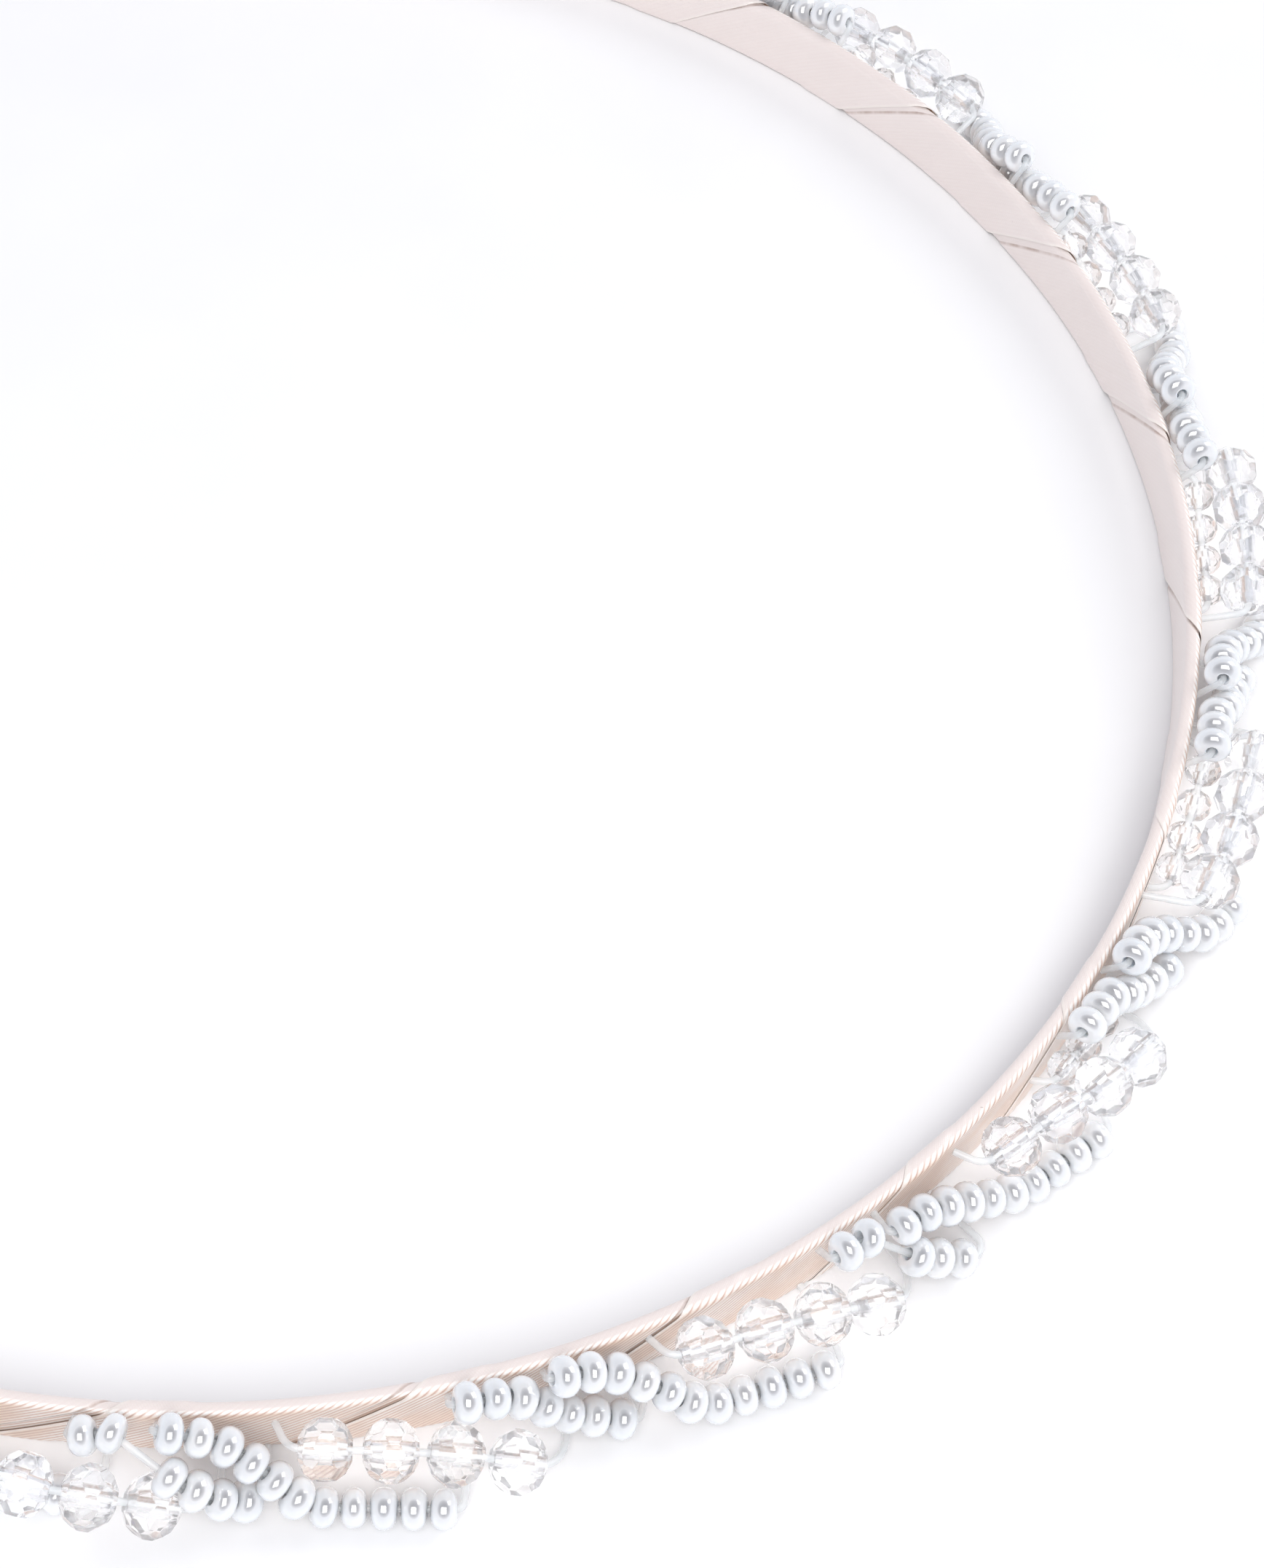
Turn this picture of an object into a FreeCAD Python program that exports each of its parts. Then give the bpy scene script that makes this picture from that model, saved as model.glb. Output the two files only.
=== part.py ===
import FreeCAD, Part
import math
import os

# A beaded hair band: a flat spring-steel hoop wrapped in satin ribbon, with a garland of glass
# crystals and pearl seed beads threaded on clear line along the outside of its crown.
#
# Frame, in millimetres. The band lies on its long edge, as on a table: +Z is across the band's
# width, the crown points to -Y and the two free ends to +Y. Places on the band are given as
# (s, z, h): s along the inner face from the crown's middle, z up from the table, and h out from
# the ribbon's outer face.

# ---- driving dimensions ------------------------------------------------------------------
BAND_WIDTH = 6.0            # height of the band when it lies on its edge
BAND_THICKNESS = 1.1        # ribbon, spring and ribbon together
RIBBON_FACE = 0.2           # ribbon on each face of the spring
RIBBON_EDGE = 0.5           # folded ribbon over each edge of the spring
HALF_LENGTH = 192.0         # crown's middle to one end of the band
CROWN_RADIUS = 66.4
CROWN_LENGTH = 53.5         # from the crown's middle to where the sides begin
SIDE_RADIUS = 73.6
SIDE_LENGTH = 69.1
LEG_RADIUS = 500.0          # the legs are almost straight

TIP_COVER_LENGTH = 8.0
TIP_COVER_WALL = 0.25       # how far a tip cover stands off the ribbon's two faces
TIP_COVER_CORNER = 2.4
SPRING_END_GAP = 0.6        # from the end of the spring to the outside of the tip cover

CRYSTAL_RADIUS = 2.0
SMALL_CRYSTAL_RADIUS = 1.25
FACETS_PER_RING = 8
# Each ring of facets is (tilt from the bead's belly in degrees, share of one facet that the ring
# is turned by, distance from the centre as a share of the radius).
FACET_RINGS = ((0.0, 0.5, 0.955), (34.0, 0.0, 0.95), (-34.0, 0.0, 0.95),
               (62.0, 0.5, 0.93), (-62.0, 0.5, 0.93))
CRYSTAL_END = 0.87          # flat end around the hole, as a share of the radius
PEARL_LENGTH = 1.72         # along the hole
PEARL_RADII = (1.34, 1.30, 1.37, 1.32, 1.28, 1.35)
PEARL_END_RADIUS = 0.78     # flat ring around the hole at each end of a pearl
HOLE_RADIUS = 0.5
SMALL_HOLE_RADIUS = 0.36
CRYSTAL_GAP = 0.06          # between neighbours on one thread
PEARL_GAP = 0.12
THREAD_RADIUS = 0.25        # a doubled line
ROLL_STEP = 137.5           # each bead is turned on its thread by this many degrees more
BEAD_CYCLE = 3              # each unit begins this many places further in the list of pearl sizes

FIRST_UNIT = -5             # the garland repeats one knotted unit, numbered from the crown
LAST_UNIT = 5
UNIT_START = -7.0           # s of unit 0
UNIT_PITCH = 24.2
UNIT_DRIFT = 0.27           # hand-tied units grow a little longer towards one end
UNIT_SLIP = {-5: -0.7, -3: -1.2, -2: -0.4, 1: -0.4}   # and some sit this far off that place
LOOSE_UNITS = (-3, -1)      # units whose lower pearl row has a bare stretch of thread
LOOSE_SPAN = 2.6
BEADS_BEFORE_SPAN = 2

# ---- the garland's rows -------------------------------------------------------------------
# Each row is its line through the beads' centres as (s from the unit's start, z, h), then the
# places that its thread passes on its way back to the ribbon, then its number of beads.
LOWER_PEARLS = ([(-15.0, 6.8, 1.45), (-13.4, 6.4, 1.45), (-11.7, 5.6, 1.5), (-10.1, 4.3, 2.2),
                 (-8.5, 3.0, 2.6), (-6.8, 2.2, 3.1), (-5.4, 1.7, 3.6), (-3.6, 1.45, 4.0)],
                [(-4.0, 0.7, 2.4), (-3.9, 0.7, 0.0)], 7)
LOOSE_LOWER_PEARLS = ([(-14.2, 6.1, 1.5), (-12.1, 6.5, 1.5), (-10.3, 6.1, 2.6), (-8.7, 5.1, 3.8),
                       (-7.1, 4.1, 4.25), (-5.7, 2.9, 4.35), (-4.5, 1.9, 3.9), (-3.7, 1.5, 3.5)],
                      [(-3.6, 0.7, 1.8), (-3.6, 0.6, 0.0)], 6)

FRONT_UPPER_PEARLS = ([(-9.0, 6.9, 1.45), (-7.3, 6.3, 1.5), (-5.6, 5.4, 1.85), (-4.2, 4.6, 2.7),
                       (-3.0, 3.7, 3.5), (-1.9, 2.6, 4.25), (-0.5, 1.8, 4.7), (1.4, 1.5, 4.9),
                       (3.2, 1.42, 5.2), (5.0, 1.4, 5.55), (7.2, 1.4, 6.1)],
                      [(8.1, 0.7, 4.0), (8.3, 0.7, 0.0)], 11)
FRONT_CRYSTALS = ([(0.0, 4.5, 2.05), (4.0, 4.1, 2.6), (7.8, 3.4, 3.35), (11.4, 2.0, 4.3),
                   (14.8, 1.6, 4.9)],
                  [(14.4, 0.7, 3.4), (14.6, 0.6, 0.0)], 4)

LOW_UPPER_PEARLS = ([(-9.0, 6.9, 1.45), (-7.3, 6.3, 1.5), (-5.6, 5.4, 1.85), (-4.2, 4.4, 2.5),
                     (-3.0, 3.4, 3.0), (-1.9, 2.4, 3.4), (-0.5, 1.6, 3.5), (1.4, 1.45, 3.4),
                     (3.2, 1.42, 3.5), (5.0, 1.4, 3.7), (7.2, 1.4, 3.8)],
                    [(7.6, 0.7, 2.4), (7.7, 0.7, 0.0)], 10)
HIGH_CRYSTALS = ([(0.0, 4.9, 3.5), (4.1, 4.6, 4.45), (8.2, 3.9, 4.65), (11.9, 2.1, 4.4),
                  (15.2, 2.05, 4.5)],
                 [(14.6, 0.7, 3.4), (14.8, 0.6, 0.0)], 4)

MIDDLE_LOWER_PEARLS = ([(-13.6, 6.5, 1.5), (-11.5, 6.0, 1.6), (-10.1, 4.6, 2.7), (-8.9, 3.0, 3.7),
                        (-7.6, 2.1, 4.3), (-6.4, 1.5, 5.1), (-5.4, 1.4, 5.9)],
                       [(-4.7, 1.0, 5.0), (-4.6, 0.7, 2.4), (-4.6, 0.6, 0.0)], 5)
MIDDLE_UPPER_PEARLS = ([(-9.2, 5.2, 1.9), (-7.4, 4.9, 2.0), (-5.7, 4.1, 2.4), (-3.9, 3.1, 3.0),
                        (-2.2, 2.2, 3.7), (-0.8, 1.7, 4.2), (0.7, 1.45, 4.6), (2.4, 1.42, 4.9),
                        (4.0, 1.4, 5.3), (5.6, 1.4, 5.8), (7.4, 1.4, 6.3)],
                       [(8.1, 0.7, 4.0), (8.3, 0.7, 0.0)], 10)
MIDDLE_CRYSTALS = ([(0.0, 4.4, 2.4), (4.0, 4.3, 3.2), (7.9, 3.7, 4.4), (11.5, 2.5, 4.9),
                    (15.2, 1.8, 5.2)],
                   [(14.4, 0.7, 3.4), (14.6, 0.6, 0.0)], 4)
MIDDLE_SMALL_CRYSTALS = ([(7.6, 2.6, 1.32), (10.1, 2.2, 1.32), (12.4, 1.8, 1.32),
                          (14.5, 1.5, 1.32)],
                         [(14.9, 1.2, 0.0)], 3)

BACK_UPPER_PEARLS = ([(-9.0, 6.9, 1.45), (-7.3, 6.1, 1.45), (-5.8, 5.0, 1.8), (-4.6, 4.0, 2.6),
                      (-3.6, 3.1, 3.6), (-2.6, 2.2, 4.5), (-1.2, 1.5, 5.2), (0.9, 1.4, 5.9)],
                     [(1.9, 0.7, 4.4), (2.0, 0.6, 0.0)], 8)
BACK_CRYSTALS = ([(0.2, 4.3, 3.9), (4.2, 3.9, 4.3), (8.2, 3.6, 4.5), (12.0, 2.8, 4.8),
                  (15.5, 2.4, 5.0)],
                 [(14.7, 0.7, 3.4), (14.9, 0.6, 0.0)], 4)
BACK_SMALL_CRYSTALS = ([(1.4, 2.3, 1.32), (3.9, 2.6, 1.32), (6.4, 3.2, 1.32), (8.6, 4.2, 1.32),
                        (10.5, 5.3, 1.4)],
                       [(10.2, 5.0, 0.0)], 4)

STACKED_ROWS = {"lower_pearl": LOWER_PEARLS, "upper_pearl": LOW_UPPER_PEARLS,
                "crystal": HIGH_CRYSTALS}
FRONT_ROWS = {"lower_pearl": LOWER_PEARLS, "upper_pearl": FRONT_UPPER_PEARLS,
              "crystal": FRONT_CRYSTALS}
MIDDLE_ROWS = {"lower_pearl": MIDDLE_LOWER_PEARLS, "upper_pearl": MIDDLE_UPPER_PEARLS,
               "crystal": MIDDLE_CRYSTALS, "small_crystal": MIDDLE_SMALL_CRYSTALS}
BACK_ROWS = {"lower_pearl": LOWER_PEARLS, "upper_pearl": BACK_UPPER_PEARLS,
             "crystal": BACK_CRYSTALS, "small_crystal": BACK_SMALL_CRYSTALS}
UNIT_ROWS = {-5: FRONT_ROWS, -4: STACKED_ROWS, -3: FRONT_ROWS, -2: FRONT_ROWS, -1: MIDDLE_ROWS}

PATH_SAMPLES = 600
PEARL_LEAD = 0.3            # where a thread leaves the ribbon, along s from its first bead's entry
CRYSTAL_LEAD = -0.6
THREAD_HIGHEST = 5.0        # it leaves no nearer the ribbon's upper edge than this
BARE_THREAD = 0.3           # straight thread between a row's end beads and its first bend
STRAIGHT_ANGLE = 0.002      # radians; a smaller turn is no corner
CORNER_SHARE = 0.45         # of the shorter run beside a thread's bend, taken by its arc


# ---- the band's line -----------------------------------------------------------------------
BAND_ARCS = [(CROWN_RADIUS, CROWN_LENGTH), (SIDE_RADIUS, SIDE_LENGTH),
             (LEG_RADIUS, HALF_LENGTH - CROWN_LENGTH - SIDE_LENGTH)]


def band_line(s):
    """Point on the inner face at arc length s, and the heading there, in radians."""
    point = FreeCAD.Vector(0.0, -CROWN_RADIUS, 0.0)
    heading = 0.0
    left = abs(s)
    for radius, length in BAND_ARCS:
        step = min(left, length) if radius != LEG_RADIUS else left
        centre = point + FreeCAD.Vector(-math.sin(heading), math.cos(heading), 0.0) * radius
        heading += step / radius
        point = centre + FreeCAD.Vector(math.sin(heading), -math.cos(heading), 0.0) * radius
        left -= step
        if left <= 0.0:
            break
    if s < 0.0:
        return FreeCAD.Vector(-point.x, point.y, 0.0), -heading
    return point, heading


def band_point(s, z, offset):
    """Point at arc length s and height z, offset outwards from the inner face."""
    point, heading = band_line(s)
    outwards = FreeCAD.Vector(math.sin(heading), -math.cos(heading), 0.0)
    return point + outwards * offset + FreeCAD.Vector(0.0, 0.0, z)


def garland_point(s, z, h):
    return band_point(s, z, BAND_THICKNESS + h)


def band_arcs(s_from, s_to, z, offset):
    """Arcs that follow the band from s_from to s_to, broken where its radius changes."""
    sides = CROWN_LENGTH + SIDE_LENGTH
    breaks = [b for b in (-sides, -CROWN_LENGTH, CROWN_LENGTH, sides) if s_from < b < s_to]
    stops = [s_from] + breaks + [s_to]
    arcs = []
    for start, stop in zip(stops, stops[1:]):
        arc = Part.Arc(band_point(start, z, offset), band_point((start + stop) / 2, z, offset),
                       band_point(stop, z, offset))
        arcs.append(arc.toShape())
    return arcs


def band_strip(s_from, s_to, offsets, heights):
    """Solid strip that follows the band between two offsets and two heights."""
    inner, outer = offsets
    low, high = heights
    edges = band_arcs(s_from, s_to, low, inner) + band_arcs(s_from, s_to, low, outer)
    for s in (s_from, s_to):
        edges.append(Part.makeLine(band_point(s, low, inner), band_point(s, low, outer)))
    face = Part.Face(Part.Wire(Part.__sortEdges__(edges)))
    return face.extrude(FreeCAD.Vector(0.0, 0.0, high - low))


# ---- the band's pieces ---------------------------------------------------------------------
def make_spring():
    reach = HALF_LENGTH - SPRING_END_GAP
    return band_strip(-reach, reach, (RIBBON_FACE, BAND_THICKNESS - RIBBON_FACE),
                      (RIBBON_EDGE, BAND_WIDTH - RIBBON_EDGE))


def make_ribbon(spring):
    reach = HALF_LENGTH - TIP_COVER_LENGTH
    sleeve = band_strip(-reach, reach, (0.0, BAND_THICKNESS), (0.0, BAND_WIDTH))
    return sleeve.cut(spring)


def make_tip_cover(side, spring):
    """Folded cover over one end, with its two corners rounded. side is -1 or +1."""
    near = side * (HALF_LENGTH - TIP_COVER_LENGTH)
    far = side * HALF_LENGTH
    cover = band_strip(min(near, far), max(near, far),
                       (-TIP_COVER_WALL, BAND_THICKNESS + TIP_COVER_WALL), (0.0, BAND_WIDTH))
    end_corners = [band_point(far, z, BAND_THICKNESS / 2) for z in (0.0, BAND_WIDTH)]
    corner_edges = [edge for edge in cover.Edges
                    if any(edge.CenterOfMass.distanceToPoint(corner) < BAND_THICKNESS / 4
                           for corner in end_corners)]
    return cover.makeFillet(TIP_COVER_CORNER, corner_edges).cut(spring)


# ---- beads, each made once with its hole along Z ---------------------------------------------
def make_crystal(radius, hole_radius):
    """Round faceted bead: a cylinder cut flat by rings of facets, then drilled."""
    end = CRYSTAL_END * radius
    bead = Part.makeCylinder(radius, 2 * end, FreeCAD.Vector(0, 0, -end))
    block = 3 * radius
    for tilt, shift, reach in FACET_RINGS:
        for index in range(FACETS_PER_RING):
            slab = Part.makeBox(block, 2 * block, 2 * block,
                                FreeCAD.Vector(reach * radius, -block, -block))
            slab.rotate(FreeCAD.Vector(), FreeCAD.Vector(0, 1, 0), -tilt)
            turn = 360.0 * (index + shift) / FACETS_PER_RING
            slab.rotate(FreeCAD.Vector(), FreeCAD.Vector(0, 0, 1), turn)
            bead = bead.cut(slab)
    drill = Part.makeCylinder(hole_radius, 2 * block, FreeCAD.Vector(0, 0, -block))
    return bead.cut(drill).Solids[0]


def make_pearl(radius):
    """Rounded seed bead: a profile with one outer arc, turned about its hole."""
    half = PEARL_LENGTH / 2
    hole_low = FreeCAD.Vector(HOLE_RADIUS, 0, -half)
    rim_low = FreeCAD.Vector(PEARL_END_RADIUS, 0, -half)
    belly = FreeCAD.Vector(radius, 0, 0)
    rim_high = FreeCAD.Vector(PEARL_END_RADIUS, 0, half)
    hole_high = FreeCAD.Vector(HOLE_RADIUS, 0, half)
    edges = [Part.makeLine(hole_low, rim_low), Part.Arc(rim_low, belly, rim_high).toShape(),
             Part.makeLine(rim_high, hole_high), Part.makeLine(hole_high, hole_low)]
    profile = Part.Face(Part.Wire(edges))
    return profile.revolve(FreeCAD.Vector(), FreeCAD.Vector(0, 0, 1), 360).Solids[0]


def place_bead(bead, centre, direction, roll):
    turn = FreeCAD.Rotation(FreeCAD.Vector(0, 0, 1), direction)
    spin = FreeCAD.Rotation(FreeCAD.Vector(0, 0, 1), roll)
    placed = bead.copy()
    placed.Placement = FreeCAD.Placement(centre, turn.multiply(spin))
    return placed


# ---- rows of beads and their threads ---------------------------------------------------------
def unit_start(unit):
    even = UNIT_START + UNIT_PITCH * unit + UNIT_DRIFT * unit * unit
    return even + UNIT_SLIP.get(unit, 0.0)


def unit_rows(unit):
    """The rows of one unit, by name."""
    rows = dict(UNIT_ROWS.get(unit, BACK_ROWS))
    if unit in LOOSE_UNITS and rows["lower_pearl"] is LOWER_PEARLS:
        rows["lower_pearl"] = LOOSE_LOWER_PEARLS
    return rows


def row_samples(unit, waypoints):
    """Close samples along the smooth line through a row's waypoints."""
    start = unit_start(unit)
    curve = Part.BSplineCurve()
    curve.interpolate([garland_point(start + s, z, h) for s, z, h in waypoints])
    return curve.discretize(Number=PATH_SAMPLES)


def walk(samples, steps):
    """Points along the samples whose straight distances are the given steps."""
    stops = [samples[0]]
    wanted = list(steps)
    for point in samples:
        if wanted and point.distanceToPoint(stops[-1]) >= wanted[0]:
            stops.append(point)
            wanted.pop(0)
    return stops


def bead_directions(centres):
    directions = []
    for index in range(len(centres)):
        before = centres[max(index - 1, 0)]
        after = centres[min(index + 1, len(centres) - 1)]
        directions.append((after - before).normalize())
    return directions


def rounded_path(points):
    """Straight runs through the points, joined by arcs as large as the runs allow."""
    edges = []
    start = points[0]
    for before, corner, after in zip(points, points[1:], points[2:]):
        incoming = (corner - before).normalize()
        outgoing = (after - corner).normalize()
        half_turn = incoming.getAngle(outgoing) / 2
        if half_turn < STRAIGHT_ANGLE:
            continue
        shorter_run = min(corner.distanceToPoint(before), corner.distanceToPoint(after))
        reach = CORNER_SHARE * shorter_run
        radius = reach / math.tan(half_turn)
        inwards = (outgoing - incoming).normalize()
        first = corner - incoming * reach
        middle = corner + inwards * (radius / math.cos(half_turn) - radius)
        last = corner + outgoing * reach
        edges.append(Part.makeLine(start, first))
        edges.append(Part.Arc(first, middle, last).toShape())
        start = last
    edges.append(Part.makeLine(start, points[-1]))
    return Part.Wire(edges)


def make_thread(points):
    path = rounded_path(points)
    heading = (points[1] - points[0]).normalize()
    ring = Part.Wire(Part.Circle(points[0], heading, THREAD_RADIUS).toShape())
    return path.makePipeShell([ring], True, False)


def thread_points(start, row_start, tail, centres, directions, half_bead, lead):
    """Places that a row's thread passes: the ribbon, every bead's centre, and the ribbon."""
    reach = half_bead + BARE_THREAD
    lead_z = min(row_start[1], THREAD_HIGHEST)
    points = [garland_point(start + row_start[0] - reach + lead, lead_z, 0.0)]
    points.append(centres[0] - directions[0] * reach)
    points.extend(centres)
    points.append(centres[-1] + directions[-1] * reach)
    points.extend(garland_point(start + s, z, h) for s, z, h in tail)
    return points


def make_row(unit, name, row, bead_kind):
    """Beads threaded along one row, and their thread."""
    waypoints, tail, count = row
    beads, half_bead, gap, lead = bead_kind
    steps = [2 * half_bead + gap] * (count - 1)
    if name == "lower_pearl" and unit in LOOSE_UNITS:
        steps[BEADS_BEFORE_SPAN - 1] += LOOSE_SPAN
    centres = walk(row_samples(unit, waypoints), steps)
    directions = bead_directions(centres)
    placed = []
    for index in range(count):
        bead = beads[(index + BEAD_CYCLE * unit) % len(beads)]
        placed.append(place_bead(bead, centres[index], directions[index], ROLL_STEP * index))
    points = thread_points(unit_start(unit), waypoints[0], tail, centres, directions, half_bead,
                           lead)
    return placed, make_thread(points)


def make_garland():
    """All rows, as a dictionary of node name to list of solids."""
    pearls = [make_pearl(radius) for radius in PEARL_RADII]
    beads = {
        "lower_pearl": (pearls, PEARL_LENGTH / 2, PEARL_GAP, PEARL_LEAD),
        "upper_pearl": (pearls, PEARL_LENGTH / 2, PEARL_GAP, PEARL_LEAD),
        "crystal": ([make_crystal(CRYSTAL_RADIUS, HOLE_RADIUS)], CRYSTAL_RADIUS, CRYSTAL_GAP,
                    CRYSTAL_LEAD),
        "small_crystal": ([make_crystal(SMALL_CRYSTAL_RADIUS, SMALL_HOLE_RADIUS)],
                          SMALL_CRYSTAL_RADIUS, CRYSTAL_GAP, CRYSTAL_LEAD),
    }
    nodes = {}
    for unit in range(FIRST_UNIT, LAST_UNIT + 1):
        label = "%02d" % (unit - FIRST_UNIT + 1)
        for name, row in unit_rows(unit).items():
            placed, thread = make_row(unit, name, row, beads[name])
            nodes[name + "_row_" + label] = placed
            nodes.setdefault(name + "_threads", []).append(thread)
    return nodes


# ---- the whole object ------------------------------------------------------------------------
def make_nodes():
    spring = make_spring()
    nodes = {
        "spring_core": [spring],
        "ribbon_wrap": [make_ribbon(spring)],
        "tip_cover_left": [make_tip_cover(-1, spring)],
        "tip_cover_right": [make_tip_cover(1, spring)],
    }
    nodes.update(make_garland())
    return nodes


def export_nodes(nodes):
    """Centre the whole object over the origin, stand it on z = 0 and write one file a node."""
    shapes = {name: Part.makeCompound(solids) for name, solids in nodes.items()}
    box = Part.makeCompound(list(shapes.values())).BoundBox
    shift = FreeCAD.Vector(-box.Center.x, -box.Center.y, -box.ZMin)
    os.makedirs("parts", exist_ok=True)
    for name, shape in shapes.items():
        shape.translate(shift)
        shape.exportStep("parts/" + name + ".step")
    print("shift %.3f %.3f %.3f" % (shift.x, shift.y, shift.z))
    print("size %.2f x %.2f x %.2f" % (box.XLength, box.YLength, box.ZLength))


export_nodes(make_nodes())
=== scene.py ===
import math
import random

import bmesh
import bpy
import numpy as np
from mathutils import Matrix, Vector


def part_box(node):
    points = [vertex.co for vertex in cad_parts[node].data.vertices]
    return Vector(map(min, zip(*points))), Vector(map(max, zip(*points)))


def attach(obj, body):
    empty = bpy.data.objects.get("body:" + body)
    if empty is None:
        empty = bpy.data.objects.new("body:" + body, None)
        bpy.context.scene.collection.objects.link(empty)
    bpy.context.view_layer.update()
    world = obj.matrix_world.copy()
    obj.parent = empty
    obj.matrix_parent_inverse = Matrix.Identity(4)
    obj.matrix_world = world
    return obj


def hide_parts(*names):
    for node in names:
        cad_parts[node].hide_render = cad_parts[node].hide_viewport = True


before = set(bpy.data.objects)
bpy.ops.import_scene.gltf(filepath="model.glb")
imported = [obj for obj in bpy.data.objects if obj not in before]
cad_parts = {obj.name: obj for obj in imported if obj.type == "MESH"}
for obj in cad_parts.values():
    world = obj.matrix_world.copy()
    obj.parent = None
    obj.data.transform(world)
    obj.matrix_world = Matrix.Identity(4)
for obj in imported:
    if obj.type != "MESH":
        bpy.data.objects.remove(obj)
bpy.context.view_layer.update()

# A ribbon-wrapped spring hair band with a garland of crystals and pearl seed beads, around the
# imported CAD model, in metres. The band lies on its long edge: +Z is across its width, the crown
# points to -Y. Places on the band are (s, z, d): s along the inner face from the crown's middle,
# z up, and d out from the inner face.

MM = 0.001


# ---- camera ---------------------------------------------------------------------------------
CAMERA_AZIMUTH = -72.0
CAMERA_ELEVATION = 57.2
CAMERA_DISTANCE = 213.9 * MM
CAMERA_TARGET = Vector((-11.8, -27.4, 0.0)) * MM
CAMERA_LENS = 67.94
CAMERA_SHIFT = 0.0766


def make_camera():
    """The camera, aimed at its target from CAMERA_AZIMUTH and CAMERA_ELEVATION."""
    azimuth, elevation = math.radians(CAMERA_AZIMUTH), math.radians(CAMERA_ELEVATION)
    back = Vector((math.sin(azimuth) * math.cos(elevation),
                   -math.cos(azimuth) * math.cos(elevation), math.sin(elevation)))
    data = bpy.data.cameras.new("camera")
    data.sensor_width = 36.0
    data.lens = CAMERA_LENS
    data.shift_x = CAMERA_SHIFT
    data.clip_start = 0.01
    data.clip_end = 20.0
    camera = bpy.data.objects.new("camera", data)
    camera.location = CAMERA_TARGET + back * CAMERA_DISTANCE
    camera.rotation_mode = "QUATERNION"
    camera.rotation_quaternion = (-back).to_track_quat("-Z", "Y")
    bpy.context.scene.collection.objects.link(camera)
    bpy.context.scene.camera = camera


make_camera()

# ---- sizes that the looks share with the CAD ------------------------------------------------
BAND_WIDTH = 6.0 * MM
BAND_THICKNESS = 1.1 * MM
HALF_LENGTH = 192.0 * MM
CROWN_RADIUS, CROWN_LENGTH = 66.4 * MM, 53.5 * MM
SIDE_RADIUS, SIDE_LENGTH = 73.6 * MM, 69.1 * MM
LEG_RADIUS = 500.0 * MM
NEAREST_STOPS = 4001         # places tried along the band, about 0.1 mm apart
BAND_ARCS = ((CROWN_RADIUS, CROWN_LENGTH), (SIDE_RADIUS, SIDE_LENGTH), (LEG_RADIUS, 1.0))
TIP_COVER_LENGTH = 8.0 * MM
TIP_COVER_WALL = 0.25 * MM
TIP_COVER_CORNER = 2.4 * MM
SPRING_THICKNESS = 0.7 * MM
SPRING_END_GAP = 0.6 * MM
SPRING_EDGE_ROUND = 0.35     # share of half the strip's thickness
SPRING_STOPS = 500

ribbon_low, ribbon_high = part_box("ribbon_wrap")
APEX = np.array([(ribbon_low.x + ribbon_high.x) / 2, ribbon_low.y + BAND_THICKNESS, 0.0])


def band_line(s):
    """Points on the inner face at arc lengths s, and the headings there."""
    s = np.asarray(s, float)
    x, y, heading = np.zeros_like(s), np.zeros_like(s), np.zeros_like(s)
    left = np.abs(s)
    for radius, length in BAND_ARCS:
        step = np.minimum(left, length)
        turned = heading + step / radius
        x += radius * (np.sin(turned) - np.sin(heading))
        y += radius * (np.cos(heading) - np.cos(turned))
        heading = turned
        left = left - step
    side = np.where(s < 0, -1.0, 1.0)
    return APEX[0] + x * side, APEX[1] + y, heading * side


def band_points(s, z, d):
    """Points at arc length s, height z and distance d out from the inner face."""
    x, y, heading = band_line(s)
    return np.stack([x + d * np.sin(heading), y - d * np.cos(heading), z + 0 * x], axis=-1)


def nearest_s(point):
    """Arc length of the place on the band that is nearest to a point."""
    stops = np.linspace(-HALF_LENGTH, HALF_LENGTH, NEAREST_STOPS)
    x, y, _ = band_line(stops)
    return float(stops[np.argmin((x - point[0]) ** 2 + (y - point[1]) ** 2)])


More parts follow.
